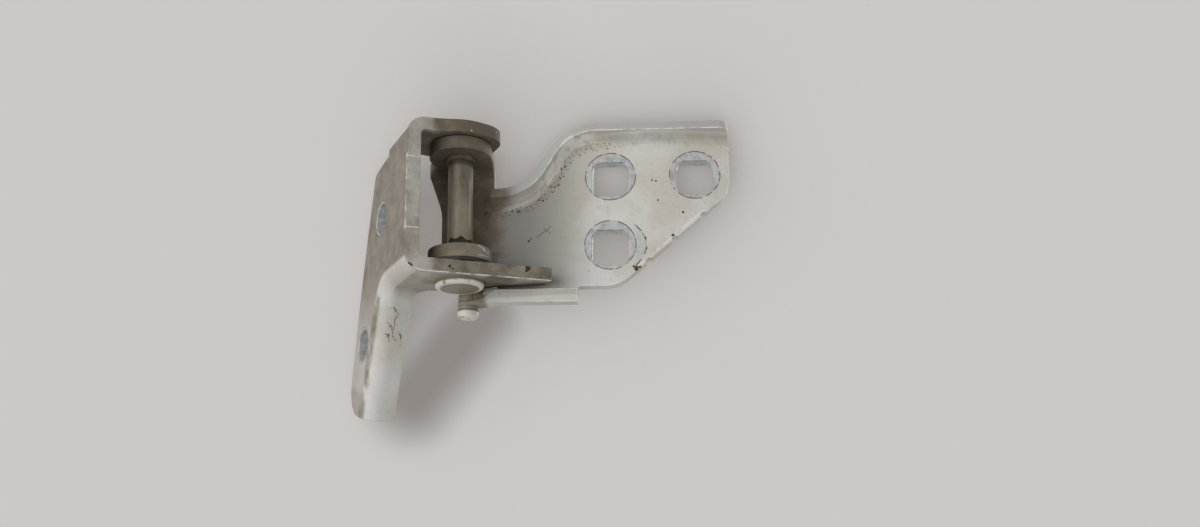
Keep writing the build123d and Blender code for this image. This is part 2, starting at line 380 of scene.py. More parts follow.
    def stroke(self, u: Feed, v: Feed, line: Line, half: float) -> Socket:
        """Mask a straight scratch.

        Args:
            u: first coordinate of the surface.
            v: second coordinate of the surface.
            line: the scratch's two ends.
            half: half of its width.

        Returns:
            A mask that is 1 on the scratch.
        """
        start, end = Vector(line[:2]), Vector(line[2:])
        middle = (start + end) / 2
        length = (end - start).length
        run = (end - start) / length
        du = self.less(u, middle.x)
        dv = self.less(v, middle.y)
        down = self.total(self.product(du, run.x), self.product(dv, run.y))
        side = self.less(self.product(dv, run.x), self.product(du, run.y))
        return self.product(self.band(down, 0, length / 2, half), self.band(side, 0, half / 2, half))

    def patch(self, away: Feed, radius: float, ragged: Feed) -> Socket:
        """Mask a round patch with a ragged rim.

        Args:
            away: distance from the patch's middle.
            radius: the patch's radius.
            ragged: how much the rim wavers, as a share of the radius.

        Returns:
            The mask.
        """
        frayed = self.total(away, self.product(ragged, radius))
        return self.ramp(frayed, *(share * radius for share in self.RIM))

    def spot(self, u: Feed, v: Feed, middle: tuple[float, float], radius: float, ragged: Feed) -> Socket:
        """Mask of a ragged patch round a middle on a flat face."""
        return self.patch(self.reach(self.less(u, middle[0]), self.less(v, middle[1])), radius, ragged)

    def blob(self, middle: Point, radius: float, ragged: Feed) -> Socket:
        """Mask a ragged patch round a place in space.

        Args:
            middle: the patch's middle.
            radius: the patch's radius.
            ragged: how much the rim wavers.

        Returns:
            The mask.
        """
        made = self.node("ShaderNodeVectorMath", operation="DISTANCE")
        self.feed(made.inputs[0], self.place)
        made.inputs[1].default_value = middle
        return self.patch(made.outputs["Value"], radius, ragged)

    def finish(
        self, colour: Feed, roughness: Feed, metallic: Feed, height: Feed, relief: float
    ) -> bpy.types.Material:
        """Join the shader, its bump and the output.

        Args:
            colour: base colour.
            roughness: surface roughness.
            metallic: share of bare metal.
            height: bump height from 0 to 1.
            relief: depth of the bump in millimetres.

        Returns:
            The finished material.
        """
        shader = self.node("ShaderNodeBsdfPrincipled")
        bump = self.node("ShaderNodeBump")
        bump.inputs["Strength"].default_value = self.BUMP
        bump.inputs["Distance"].default_value = relief * MM
        self.feed(bump.inputs["Height"], height)
        self.feed(shader.inputs["Normal"], bump.outputs["Normal"])
        self.feed(shader.inputs["Base Color"], colour)
        self.feed(shader.inputs["Roughness"], roughness)
        self.feed(shader.inputs["Metallic"], metallic)
        target = self.node("ShaderNodeOutputMaterial")
        self.feed(target.inputs["Surface"], shader.outputs["BSDF"])
        return self.material


@dataclass
class Wear:
    """Masks of a painted piece, each from 0 to 1."""

    grime: Feed
    bare: Feed
    specks: Feed
    rubbed: Feed
    dull: Feed = 0.0
    tint_and_shade: Feed = 0.0


@dataclass(frozen=True)
class AgedPaint:
    """Off-white paint on sheet steel: blotches, greasy grime, bare zinc, specks and rubbed edges, with
    painted shade and highlight.
    """

    cool: Colour = tone(196, 196, 193)
    warm: Colour = tone(184, 180, 170)
    grime: Colour = tone(134, 126, 111)
    deep: Colour = tone(76, 67, 54)
    zinc: Colour = tone(178, 180, 181)
    zinc_dark: Colour = tone(146, 148, 148)
    dull: Colour = tone(166, 165, 161)
    # Dark grey laid over the paint as painted shade, such as the clevis's shade on the leaf's plate.
    tint_and_shade: Colour = tone(104, 103, 97)
    # Soot specks, also used for the painted shade on the leaf's upper ear.
    soot: Colour = tone(44, 38, 32)
    # Rubbed paint, also used for the painted highlight on the leaf lip's flank.
    bright: Colour = tone(212, 209, 201)
    rough: float = 0.5
    relief: float = 0.25

    def coat(self, sheet: Sheet, wear: Wear) -> bpy.types.Material:
        """Layer paint, painted shade, grime, bare metal, rubbed edges and specks.

        Args:
            sheet: the material to fill.
            wear: where each layer shows.

        Returns:
            The finished material.
        """
        grain = sheet.noise(2.2, 5, 0.6, seed=7)
        paint = sheet.mix(sheet.ramp(sheet.noise(30, 3, 0.5), 0.38, 0.62), self.cool, self.warm)
        paint = sheet.mix(wear.dull, paint, self.dull)
        # Painted shade: the paint is darkened towards a grey tint where the piece's mask asks for it.
        paint = sheet.mix(wear.tint_and_shade, paint, self.tint_and_shade)
        paint = sheet.mix(sheet.product(sheet.ramp(grain, 0.5, 0.75), 0.22), paint, self.grime)
        depth = sheet.total(sheet.noise(7, 5, 0.65, seed=3), sheet.product(wear.grime, 0.45))
        filth = sheet.mix(sheet.ramp(depth, 0.55, 1.0), self.grime, self.deep)
        patches = sheet.waver(9, 5, 0.65, seed=11)
        share = sheet.ramp(sheet.total(wear.grime, sheet.product(patches, 0.7)), 0.12, 0.9)
        colour = sheet.mix(share, paint, filth)
        streaks = sheet.ramp(sheet.noise(2.6, 4, 0.6, seed=5), 0.4, 0.72)
        colour = sheet.mix(wear.bare, colour, sheet.mix(streaks, self.zinc, self.zinc_dark))
        # The rubbed mask also carries the leaf's painted highlight on the lip's flank.
        rub_and_highlight = sheet.product(wear.rubbed, sheet.ramp(sheet.noise(4, 4, 0.6, seed=21), 0.34, 0.56))
        colour = sheet.mix(rub_and_highlight, colour, self.bright)
        colour = sheet.mix(wear.specks, colour, self.soot)
        rough = sheet.total(sheet.product(share, 0.2), sheet.product(wear.bare, -0.1), self.rough)
        lumps = sheet.total(
            sheet.product(grain, 0.4), sheet.product(patches, share), sheet.product(wear.specks, -0.5)
        )
        return sheet.finish(colour, rough, sheet.product(wear.bare, 0.2), lumps, self.relief)


@dataclass(frozen=True)
class GreasySteel:
    """Steel under a film of brown grease, with paint left on a part of it, and on the pin a painted highlight
    line.
    """

    film: Colour = tone(128, 119, 103)
    deep: Colour = tone(66, 58, 47)
    # Paint, also used for the pin's painted highlight line.
    paint: Colour = tone(200, 196, 187)
    shine: float = 0.12
    rough: float = 0.46
    relief: float = 0.2

    def coat(self, sheet: Sheet, dark: Feed, painted: Feed) -> bpy.types.Material:
        """Layer grease and paint.

        Args:
            sheet: the material to fill.
            dark: how thick the grease is, from 0 to 1.
            painted: mask of what is still painted, and of any painted highlight laid in the paint colour.

        Returns:
            The finished material.
        """
        drag = sheet.noise(3, 5, 0.65, seed=2, squeeze=(1, 1, 0.3))
        blots = sheet.less(drag, 0.5)
        share = sheet.ramp(sheet.total(dark, sheet.product(blots, 0.9)), 0.1, 0.9)
        colour = sheet.mix(share, self.film, self.deep)
        paint_and_highlight = sheet.product(painted, sheet.ramp(sheet.noise(2.5, 5, 0.6, seed=9), 0.28, 0.42))
        colour = sheet.mix(paint_and_highlight, colour, self.paint)
        rough = sheet.total(sheet.product(share, 0.2), self.rough)
        metal = sheet.product(sheet.outside(paint_and_highlight), self.shine)
        return sheet.finish(colour, rough, metal, drag, self.relief)


BLACK_GREASE = GreasySteel(tone(48, 43, 37), tone(24, 21, 18), shine=0.2)


@dataclass(frozen=True)
class PlateMap:
    """Directions of the leaf's plate, read from the record's three fixing holes."""

    drop: float = 1.2
    sheet: float = 5.5

    @staticmethod
    def hole(name: str) -> Vector:
        """Middle of a fixing hole, by its short name."""
        mounts = {mount["name"]: mount["pos_m"] for mount in frame["record"]["mounts"]}
        return Vector(mounts["plate_hole_" + name]) / MM

    def axes(self) -> tuple[Vector, Vector, Vector, Vector]:
        """Find the plate's origin and directions.

        Returns:
            The middle of the inner bolt mark on the front face, the direction along the plate, the direction
            up the plate, and the direction out of its front face.
        """
        inner = self.hole("inner")
        run = (self.hole("outer") - inner).normalized()
        rise = (inner - self.hole("lower")).normalized()
        out = run.cross(rise)
        return inner + rise * self.drop + out * self.sheet / 2, run, rise, out

    def marks(self) -> list[tuple[float, float]]:
        """Find the three bolt marks on the plate.

        Returns:
            Each mark's place along and up the plate.
        """
        origin, run, rise, _ = self.axes()
        offs = [self.hole(name) - origin for name in ("inner", "lower", "outer")]
        return [(off.dot(run), off.dot(rise) + self.drop) for off in offs]


@dataclass
class Stamping:
    """A stamped piece shown as a copy of its solid with broken edges."""

    part: Part
    body: Body
    slot: str
    name: str
    finish: AgedPaint = AgedPaint()
    edge_break: float = 0.35
    sharp: float = math.radians(38)
    flat: float = math.radians(1.0)
    weld: float = 0.002
    room: float = 2.2
    # Balls, each a place and a radius, in which edges stay keen.
    keen: tuple[tuple[float, float, float, float], ...] = ()

    def build(self) -> bpy.types.Object:
        """Copy the solid's mesh, break its sharp edges and dress it.

        Returns:
            The new object, which stands for the solid.
        """
        made = bmesh.new()
        made.from_mesh(frame["nodes"][self.part.value].data)
        bmesh.ops.remove_doubles(made, verts=made.verts, dist=self.weld * MM)
        bmesh.ops.dissolve_limit(made, angle_limit=self.flat, verts=made.verts, edges=made.edges)
        self.shape(made)
        broken = bmesh.ops.bevel(
            made, geom=[edge for edge in made.edges if self.breaks(edge)], offset=self.edge_break * MM,
            offset_type="OFFSET", segments=2, profile=0.5, affect="EDGES", material=-1, clamp_overlap=False,
        )
        for face in made.faces:
            face.smooth = True
            face.material_index = 0
        for face in broken["faces"]:
            face.material_index = 1
        piece = show(made, self.name, self.dress(False), self.dress(True))
        piece.modifiers.new("face_normals", "WEIGHTED_NORMAL").keep_sharp = True
        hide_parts(self.part.value)
        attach(piece, self.body.value)
        return piece

    def shape(self, made: bmesh.types.BMesh) -> None:
        """Shape the copy before its edges are broken; a plain piece needs nothing."""

    def breaks(self, edge: bmesh.types.BMEdge) -> bool:
        """Tell whether an edge is an outer corner with room for its broken strip.

        Args:
            edge: an edge of the solid's copy.

        Returns:
            True where the edge is sharp, has wide faces and isn't in a place that is kept keen.
        """
        if not edge.is_manifold or not edge.is_convex or edge.calc_face_angle(0) < self.sharp:
            return False
        start, end = (vert.co / MM for vert in edge.verts)
        run = (end - start).normalized()
        for face in edge.link_faces:
            offs = [vert.co / MM - start for vert in face.verts]
            if max((off - run * off.dot(run)).length for off in offs) < self.room * self.edge_break:
                return False
        places = (start, end, (start + end) / 2)
        return not any((place - Vector(ball[:3])).length < ball[3] for place in places for ball in self.keen)

    def sheet(self, edge: bool) -> Sheet:
        """Empty material for the faces, or for the strips along the broken edges."""
        return Sheet(self.name + ("_edges" if edge else "_faces"))

    def dress(self, edge: bool) -> bpy.types.Material:
        """Material of the faces, or of the strips along the broken edges."""
        raise NotImplementedError


@dataclass
class LeafPlace:
    """Where a point of the leaf lies, and the masks that its marks share.

    u runs along the plate, v up it and w out of its front face. from_lip is the distance below the lip's
    foot, and from_pin the distance from the pin's axis.
    """

    u: Socket
    v: Socket
    w: Socket
    from_lip: Socket
    from_pin: Socket
    front: Socket
    off_lip: Socket
    ragged: Socket
    broken: Socket


@dataclass
class Leaf(Stamping):
    """Leaf: plate with bolt marks, dirty lip and a greasy knuckle."""

    part: Part = Part.LEAF
    body: Body = Body.LEAF
    slot: str = "leaf_paint"
    name: str = "leaf_shell"
    finish: AgedPaint = AgedPaint(deep=tone(100, 90, 74))
    keen: tuple[tuple[float, float, float, float], ...] = (
        (16.5, 4.5, 19.0, 5.0), (-6.1, 18.8, 18.9, 1.6), (16.3, 4.6, 9.3, 1.6), (16.5, 5.0, -35.5, 6.0),
        (16.8, 4.5, -15.8, 2.0), (17.0, 3.2, -33.3, 2.0),
    )
    plate: PlateMap = PlateMap()
    # The lip's foot, and how far it leans, at places along the plate.
    lip_line: tuple[tuple[float, float], ...] = (
        (-60.0, -15.6), (-46.5, -15.6), (-38.0, -14.3), (-30.0, -10.2), (-22.5, -1.7), (-17.9, 6.2),
        (-12.0, 11.8), (-5.5, 13.4), (50.0, 13.4),
    )
    lip_lean: tuple[tuple[float, float], ...] = (
        (-60.0, 1.0), (-46.5, 1.0), (-38.0, 0.95), (-30.0, 0.8), (-22.5, 0.5), (-17.9, 0.5), (-12.0, 0.89),
        (-5.5, 1.0), (50.0, 1.0),
    )
    lip_span: float = 40.0
    lip_corner: Point = (48.83, 20.2, 4.9)
    lip_round: float = 4.0
    lip_edge: float = 4.0
    front_fade: Fade = (-0.9, -0.4)
    # Bolt marks, the walls of their holes, and the arc where the lower bolt's washer slipped.
    mark_radius: float = 10.45
    hole_half: float = 7.6
    wall_fade: Fade = (-0.25, -0.45)
    slip: tuple[float, float] = (4.5, -30.3)
    slip_radius: float = 10.2
    slip_side: Fade = (9.0, 11.5)
    # Scratches, chips and specks, and soot with painted shade on the upper ear.
    scratches: tuple[Line, ...] = ((-30.2, -26.4, -24.5, -21.7), (-27.6, -22.5, -24.7, -24.6))
    spots: tuple[tuple[float, float, float], ...] = (
        (-33.5, -27.9, 0.45), (-32.7, -26.8, 0.35), (10.5, -40.2, 0.8), (11.9, -39.6, 0.5),
        (9.6, -39.4, 0.45), (17.3, -2.0, 0.35), (18.9, -2.4, 0.3), (19.6, -10.9, 0.3),
        (29.8, -16.4, 0.45), (25.5, -26.3, 0.45),
    )
    speck_belt: Belt = (0.2, 0.8, 1.4)
    speck_side: Fade = (6.0, -8.0)
    ear_top: Fade = (16.5, 18.5)
    ear_reach: Fade = (18.0, 15.0)
    ear_side: Fade = (8.0, -8.0)
    # Places where the paint is rubbed, and the lip's flank, lightened as a painted highlight.
    scuffs: tuple[Line, ...] = (
        (38.3, -15.6, 34.0, -19.3), (34.6, -18.9, 29.6, -23.2), (26.6, -25.9, 22.2, -29.7),
        (22.6, -29.4, 18.6, -32.8), (14.0, -36.8, 11.4, -39.0),
    )
    ear_scratches: tuple[Line, ...] = (
        (2.6, -19.6, 6.4, -21.4), (4.4, -20.0, 7.9, -22.4), (7.2, -20.4, 9.2, -23.6),
        (3.2, -23.4, 8.6, -23.0),
    )
    low_ear_reach: Fade = (14.5, 13.0)
    low_ear_top: Fade = (-18.0, -19.0)
    flank_belt: Belt = (-3.2, 1.0, 0.8)
    flank_run: Belt = (-18.0, 8.0, 6.0)
    edge_rub: Fade = (24.0, 34.0)
    # Grease round the knuckle and along the lip, and grease with painted shade on the tab.
    lip_clear: Fade = (-2.0, 0.0)
    pin_clear: Fade = (25.0, 18.0)
    knuckle_reach: Fade = (26.0, 15.0)
    knuckle_floor: Fade = (-36.0, -27.0)
    low_rim_side: Fade = (-2.0, 6.0)
    low_rim_top: Fade = (-17.5, -19.5)
    tab_side: Fade = (-47.0, -51.0)
    tab_top: Fade = (-30.0, -34.0)
    lip_belt: Belt = (-1.2, 1.2, 2.0)
    crevice_span: float = 6.0
    # Painted shade and grey darkening, and dull paint.
    tint_and_shade_reach: Fade = (64.0, 24.0)
    tint_and_shade_floor: Fade = (-38.0, -28.0)
    far_side: Fade = (16.0, 36.0)
    apron_top: Fade = (-33.0, -34.0)
    apron_foot: Fade = (-37.3, -36.5)
    lip_end: Fade = (-3.6, -4.1)
    lip_end_reach: Fade = (16.0, 24.0)

    def shape(self, made: bmesh.types.BMesh) -> None:
        """Round the free corner at the lip's far end.

        Args:
            made: the copy of the leaf's mesh.
        """
        origin, run, rise, out = self.plate.axes()
        along, up, front = self.lip_corner
        place = (origin + run * along + rise * up + out * front) * MM
        upright = [
            edge for edge in made.edges if edge.is_convex and edge.calc_length() > self.lip_edge * MM
            and abs((edge.verts[0].co - edge.verts[1].co).normalized().dot(run)) < 0.1
        ]
        corner = min(upright, key=lambda edge: ((edge.verts[0].co + edge.verts[1].co) / 2 - place).length)
        bmesh.ops.bevel(
            made, geom=[corner], offset=self.lip_round * MM, offset_type="OFFSET", segments=5, profile=0.5,
            affect="EDGES", material=-1, clamp_overlap=False,
        )

    def lip_curve(self, sheet: Sheet, u: Feed, line: Sequence[tuple[float, float]]) -> Socket:
        """Follow a line that is given by its points along the plate.

        Args:
            sheet: the material to fill.
            u: distance along the plate.
            line: places along the plate, each with the line's value there.

        Returns:
            The line's value at u.
        """
        low, high = line[0][0], line[-1][0]
        curve = sheet.node("ShaderNodeFloatCurve")
        points = curve.mapping.curves[0].points
        while len(points) < len(line):
            points.new(0.5, 0.5)
        for point, (along, value) in zip(points, line):
            point.location = ((along - low) / (high - low), 0.5 + value / self.lip_span)
        curve.mapping.update()
        sheet.feed(curve.inputs["Value"], sheet.math("DIVIDE", sheet.less(u, low), high - low))
        return sheet.product(sheet.less(curve.outputs[0], 0.5), self.lip_span)

    def places(self, sheet: Sheet) -> LeafPlace:
        """Work out where a point of the leaf lies.

        Args:
            sheet: the material to fill.

        Returns:
            The point's coordinates and the shared masks.
        """
        origin, run, rise, out = self.plate.axes()
        u, v, w = (sheet.along(direction, origin) for direction in (run, rise, out))
        lean = self.lip_curve(sheet, u, self.lip_lean)
        from_lip = sheet.product(lean, sheet.less(self.lip_curve(sheet, u, self.lip_line), v))
        from_pin = sheet.reach(sheet.x, sheet.y)
        ragged = sheet.waver(1.3, 4, 0.6, seed=13)
        wavering = sheet.total(from_pin, sheet.product(ragged, 3.0))
        off_lip = sheet.most(sheet.ramp(from_lip, *self.lip_clear), sheet.ramp(wavering, *self.pin_clear))
        front = sheet.ramp(w, *self.front_fade)
        broken = sheet.ramp(sheet.noise(3.2, 3, 0.6, seed=17), 0.4, 0.5)
        return LeafPlace(u, v, w, from_lip, from_pin, front, off_lip, ragged, broken)

    def bolt_marks(self, sheet: Sheet, at: LeafPlace) -> tuple[Socket, list[Socket]]:
        """Mark the bare rings under the bolts, and the dark lines round them.

        Args:
            sheet: the material to fill.
            at: where the point lies.

        Returns:
            The mask of bare metal, and the masks of the lines.
        """
        bare, lines = [], []
        for along, up in self.plate.marks():
            du, dv = sheet.less(at.u, along), sheet.less(at.v, up)
            away = sheet.total(sheet.reach(du, dv), sheet.product(at.ragged, 0.5))
            ring = sheet.ramp(away, self.mark_radius + 0.1, self.mark_radius - 0.1)
            bare.append(sheet.product(at.front, ring))
            rim = sheet.band(away, self.mark_radius, 0.12, 0.16)
            lines.append(sheet.product(at.front, at.broken, 0.85, rim))
            square = sheet.most(sheet.size(du), sheet.size(sheet.total(dv, self.plate.drop)))
            wall = sheet.ramp(square, self.hole_half + 0.5, self.hole_half + 0.3)
            bare.append(sheet.product(wall, sheet.ramp(at.w, *self.wall_fade)))
            edge = sheet.band(square, self.hole_half - 0.1, 0.05, 0.12)
            within = sheet.ramp(away, self.mark_radius - 0.2, self.mark_radius - 0.6)
            lines.append(sheet.product(at.front, at.broken, 0.5, edge, within))
        off = sheet.reach(sheet.less(at.u, self.slip[0]), sheet.less(at.v, self.slip[1]))
        slide = sheet.total(off, sheet.product(at.ragged, 1.2))
        side = sheet.ramp(at.u, *self.slip_side)
        arc = sheet.band(slide, self.slip_radius, 0.18, 0.22)
        lines.append(sheet.product(at.front, side, at.broken, arc))
        scraped = sheet.ramp(slide, self.slip_radius + 0.2, self.slip_radius - 0.3)
        bare.append(sheet.product(at.front, side, scraped, 0.75))
        return sheet.most(*bare), lines

    def dirt(self, sheet: Sheet, at: LeafPlace) -> list[Socket]:
        """Mark scratches, chips, the specks along the lip, and soot with painted shade on the upper ear.

        Args:
            sheet: the material to fill.
            at: where the point lies.

        Returns:
            The masks of the marks.
        """
        lines = []
        for line in self.scratches:
            lines.append(sheet.product(at.front, 0.7, sheet.stroke(at.u, at.v, line, 0.16)))
        frayed = sheet.product(at.ragged, 2.2)
        for along, up, radius in self.spots:
            lines.append(sheet.product(at.front, sheet.spot(at.u, at.v, (along, up), radius, frayed)))
        specks = sheet.ramp(sheet.noise(1.1, 3, 0.6, seed=23), 0.57, 0.64)
        thick = sheet.total(sheet.ramp(at.u, *self.speck_side), 0.25)
        lines.append(sheet.product(at.front, specks, sheet.band(at.from_lip, *self.speck_belt), thick))
        sparse = sheet.ramp(sheet.noise(0.9, 2, 0.5, seed=29), 0.74, 0.78)
        lines.append(sheet.product(sparse, 0.8))
        # Upper ear: soot with painted shade, darker towards -X.
        ear = sheet.product(sheet.ramp(sheet.z, *self.ear_top), sheet.ramp(at.from_pin, *self.ear_reach))
        shaded = sheet.total(sheet.product(sheet.ramp(sheet.x, *self.ear_side), 0.42), 0.1)
        lines.append(sheet.product(ear, shaded))
        return lines

    def grime(self, sheet: Sheet, at: LeafPlace) -> Socket:
        """Mask the grease round the knuckle, along the lip and in the corners, and the grease with painted
        shade on the tab.

        Args:
            sheet: the material to fill.
            at: where the point lies.

        Returns:
            How thick the grime is, with the painted shade.
        """
        wiped = sheet.product(
            sheet.ramp(sheet.x, *self.low_rim_side), sheet.ramp(sheet.z, *self.low_rim_top), -0.7
        )
        knuckle = sheet.product(
            sheet.ramp(at.from_pin, *self.knuckle_reach), sheet.ramp(sheet.z, *self.knuckle_floor),
            at.off_lip, sheet.total(wiped, 0.85),
        )
        # The tab's mask is grease and painted shade, where the flange shades the tab.
        tab = sheet.product(sheet.ramp(at.u, *self.tab_side), sheet.ramp(sheet.z, *self.tab_top), 0.6)
        lip = sheet.product(sheet.band(at.from_lip, *self.lip_belt), at.front, 0.3)
        crevice = sheet.product(sheet.ramp(sheet.hollow(self.crevice_span), 0.3, 0.75), 0.15)
        return sheet.total(sheet.most(knuckle, tab, lip), crevice, 0.06)

    def tint_and_shade(self, sheet: Sheet, at: LeafPlace) -> Socket:
        """Mask the painted shade round the pin, where the clevis shades the plate, and the grey darkening at
        the far end and on the apron.

        Args:
            sheet: the material to fill.
            at: where the point lies.

        Returns:
            How strong the painted shade and grey darkening are.
        """
        # Painted shade where the clevis shades the plate round the pin.
        around = sheet.product(
            sheet.ramp(at.from_pin, *self.tint_and_shade_reach), sheet.ramp(sheet.z, *self.tint_and_shade_floor), at.off_lip, 0.9
        )
        far = sheet.product(sheet.ramp(at.u, *self.far_side), 0.1)
        stripe = sheet.total(sheet.product(sheet.ramp(sheet.z, *self.apron_foot), 0.25), 0.16)
        return sheet.most(around, far, sheet.product(sheet.ramp(sheet.z, *self.apron_top), stripe))

    def rubs(self, sheet: Sheet, at: LeafPlace) -> Socket:
        """Mask the scuffs along the slanted edge and on the lower ear, and the painted highlight on the lip's
        flank.

        Args:
            sheet: the material to fill.
            at: where the point lies.

        Returns:
            How far the paint is rubbed, and where it is lightened as a painted highlight.
        """
        marks = []
        for line in self.scuffs:
            marks.append(sheet.product(at.front, 0.9, sheet.stroke(at.u, at.v, line, 0.3)))
        ear = sheet.product(
            sheet.ramp(at.from_pin, *self.low_ear_reach), sheet.ramp(sheet.z, *self.low_ear_top)
        )
        bent = sheet.total(sheet.x, sheet.product(at.ragged, 4.0))
        for line in self.ear_scratches:
            marks.append(sheet.product(ear, 0.8, sheet.stroke(bent, sheet.z, line, 0.13)))
        # Painted highlight: the lip's flank, which lies in shade, is lightened with the rubbed colour.
        flank = sheet.product(
            at.front, sheet.band(at.from_lip, *self.flank_belt), sheet.band(at.u, *self.flank_run), 0.9
        )
        return sheet.most(flank, *marks)

    def dress(self, edge: bool) -> bpy.types.Material:
        """Paint the plate, its bolt marks, its dirty lip and its greasy knuckle.

        Args:
            edge: True for the strips along the broken edges, whose paint is rubbed.

        Returns:
            The finished material.
        """
        sheet = self.sheet(edge)
        at = self.places(sheet)
        bare, lines = self.bolt_marks(sheet, at)
        if edge:
            rubbed = sheet.product(sheet.ramp(at.from_pin, *self.edge_rub), sheet.outside(bare), 0.9)
        else:
            rubbed = self.rubs(sheet, at)
        dull = sheet.product(
            sheet.ramp(at.from_lip, *self.lip_end), sheet.ramp(at.from_pin, *self.lip_end_reach)
        )
        specks = sheet.most(*lines, *self.dirt(sheet, at))
        wear = Wear(self.grime(sheet, at), bare, specks, rubbed, dull, self.tint_and_shade(sheet, at))
        return self.finish.coat(sheet, wear)


@dataclass
class BracketPlace:
    """Where a point of the bracket lies, and the masks that its marks share.

    across and down run along the leaning leg, from its bolt hole.
    """

    across: Socket
    down: Socket
    outer: Socket
    top_ear: Socket
    ragged: Socket


@dataclass
class Bracket(Stamping):
    """Bracket: greasy clevis, stained bolt flange and a paler leg."""

    part: Part = Part.BRACKET
    body: Body = Body.BRACKET
    slot: str = "bracket_paint"
    name: str = "bracket_shell"
    # The purple-grey tint here also gives the painted shade on the bolt flange and the leg.
    finish: AgedPaint = AgedPaint(tint_and_shade=tone(120, 114, 110), deep=tone(88, 79, 64))
    # The bow of the upper ear's front edge.
    crown: float = 2.6
    crown_span: tuple[float, float] = (-17.0, 12.5)
    crown_cuts: int = 12
    ear_floor: float = 26.1
    ear_front: float = -8.0
    # The leg's lean, and the bolt flange with its two holes.
    lean: float = math.radians(21.6)
    outer_x: float = -25.7
    lower_hole: tuple[float, float] = (40.79, -50.32)
    upper_hole: tuple[float, float] = (21.5, -1.6)
    hole_radius: float = 6.5
    # Grease on the ears, inside the clevis, on the web and on the leg.
    low_ear_belt: Belt = (-29.0, 3.2, 1.5)
    low_ear_side: Fade = (-22.0, -12.0)
    low_ear_rim: Fade = (-31.6, -31.2)
    top_ear_floor: Fade = (24.0, 27.0)
    top_ear_side: Fade = (-27.0, -4.0)
    inner_side: Fade = (-20.9, -20.3)
    inner_back: Fade = (-8.7, -8.2)
    inner_floor: Fade = (-40.0, -26.0)
    stain_floor: Fade = (-60.0, -20.0)
    web_front: Fade = (-8.0, -8.6)
    web_floor: Fade = (-33.5, -32.0)
    web_fade: Fade = (-22.0, -29.0)
    ridge_belt: Belt = (-8.8, 0.7, 2.3)
    ridge_top: Fade = (-24.0, -36.0)
    foot: Fade = (14.0, 21.0)
    crevice_span: float = 7.0
    # Painted shade with grime below the lower ear: round the pin's head and on the stop finger.
    under_belt: Belt = (-31.75, 0.2, 0.8)
    head_reach: Fade = (23.0, 13.0)
    finger_root: Fade = (22.0, 14.0)
    finger_side: Fade = (0.0, 9.0)
    # Grey tint and painted shade on the bolt flange and the leg.
    pale_floor: Fade = (-50.0, -20.0)
    leg_belt: Belt = (-38.0, 8.0, 10.0)
    leg_top: Fade = (-33.0, -36.0)
    # Scratches on the leg's wall, chips, and paint rubbed at two steps of the web and along the edges.
    scratches: tuple[Line, ...] = (
        (-19.3, -18.4, -17.4, -14.9), (-17.6, -14.9, -18.6, -9.5), (-20.0, -12.2, -18.4, -7.0),
        (-18.4, -7.0, -16.4, -5.2), (-20.1, -7.7, -19.0, -4.0), (-15.6, -8.0, -14.8, -3.3),
    )
    wall_side: Fade = (-12.6, -13.1)
    wall_top: Fade = (-33.0, -35.0)
    spots: tuple[tuple[float, float, float, float], ...] = (
        (22.6, -14.9, -27.3, 0.9), (21.9, -14.9, -28.4, 0.5), (-8.4, -11.2, -29.1, 0.5),
        (-7.2, -11.4, -30.0, 0.35), (-23.8, -9.2, -29.3, 0.55), (-22.9, -9.4, -30.0, 0.5),
    )
    steps: tuple[float, float] = (14.1, -14.9)
    step_front: Fade = (-7.5, -8.6)
    edge_under: Fade = (-30.0, -31.0)
    edge_side: Fade = (-25.0, -25.3)
    edge_belt: Belt = (-0.4, 15.0, 1.0)
    edge_back: Fade = (30.0, 20.0)

    def shape(self, made: bmesh.types.BMesh) -> None:
        """Bow the upper ear's front edge out between the bend and its free corner.

        Args:
            made: the copy of the bracket's mesh.
        """
        start, end = self.crown_span
        for step in range(1, self.crown_cuts):
            cut = start + (end - start) * step / self.crown_cuts
            ear = [
                face for face in made.faces if max(vert.co.z for vert in face.verts) > self.ear_floor * MM
                and (abs(face.normal.z) > 0.99 or face.normal.y < -0.9)
            ]
            corners = {vert for face in ear for vert in face.verts}
            rims = {edge for face in ear for edge in face.edges}
            bmesh.ops.bisect_plane(
                made, geom=[*corners, *rims, *ear], dist=0.01 * MM, plane_co=(cut * MM, 0, 0),
                plane_no=(1, 0, 0),
            )
        for vert in made.verts:
            x, y, z = vert.co / MM
            if z > self.ear_floor and y < self.ear_front and start < x < end:
                vert.co.y -= self.crown * math.sin(math.pi * (x - start) / (end - start)) ** 2 * MM

    def places(self, sheet: Sheet) -> BracketPlace:
        """Work out where a point of the bracket lies.

        Args:
            sheet: the material to fill.

        Returns:
            The point's coordinates and the shared masks.
        """
        hole = Vector((self.outer_x, *self.lower_hole))
        across = sheet.along(Vector((0, math.cos(self.lean), math.sin(self.lean))), hole)
        down = sheet.along(Vector((0, math.sin(self.lean), -math.cos(self.lean))), hole)
        outer = sheet.ramp(sheet.x, self.outer_x + 0.5, self.outer_x + 0.1)
        top_ear = sheet.product(
            sheet.ramp(sheet.z, *self.top_ear_floor), sheet.ramp(sheet.x, *self.top_ear_side), 1.25
        )
        return BracketPlace(across, down, outer, top_ear, sheet.waver(1.6, 4, 0.65, seed=31))

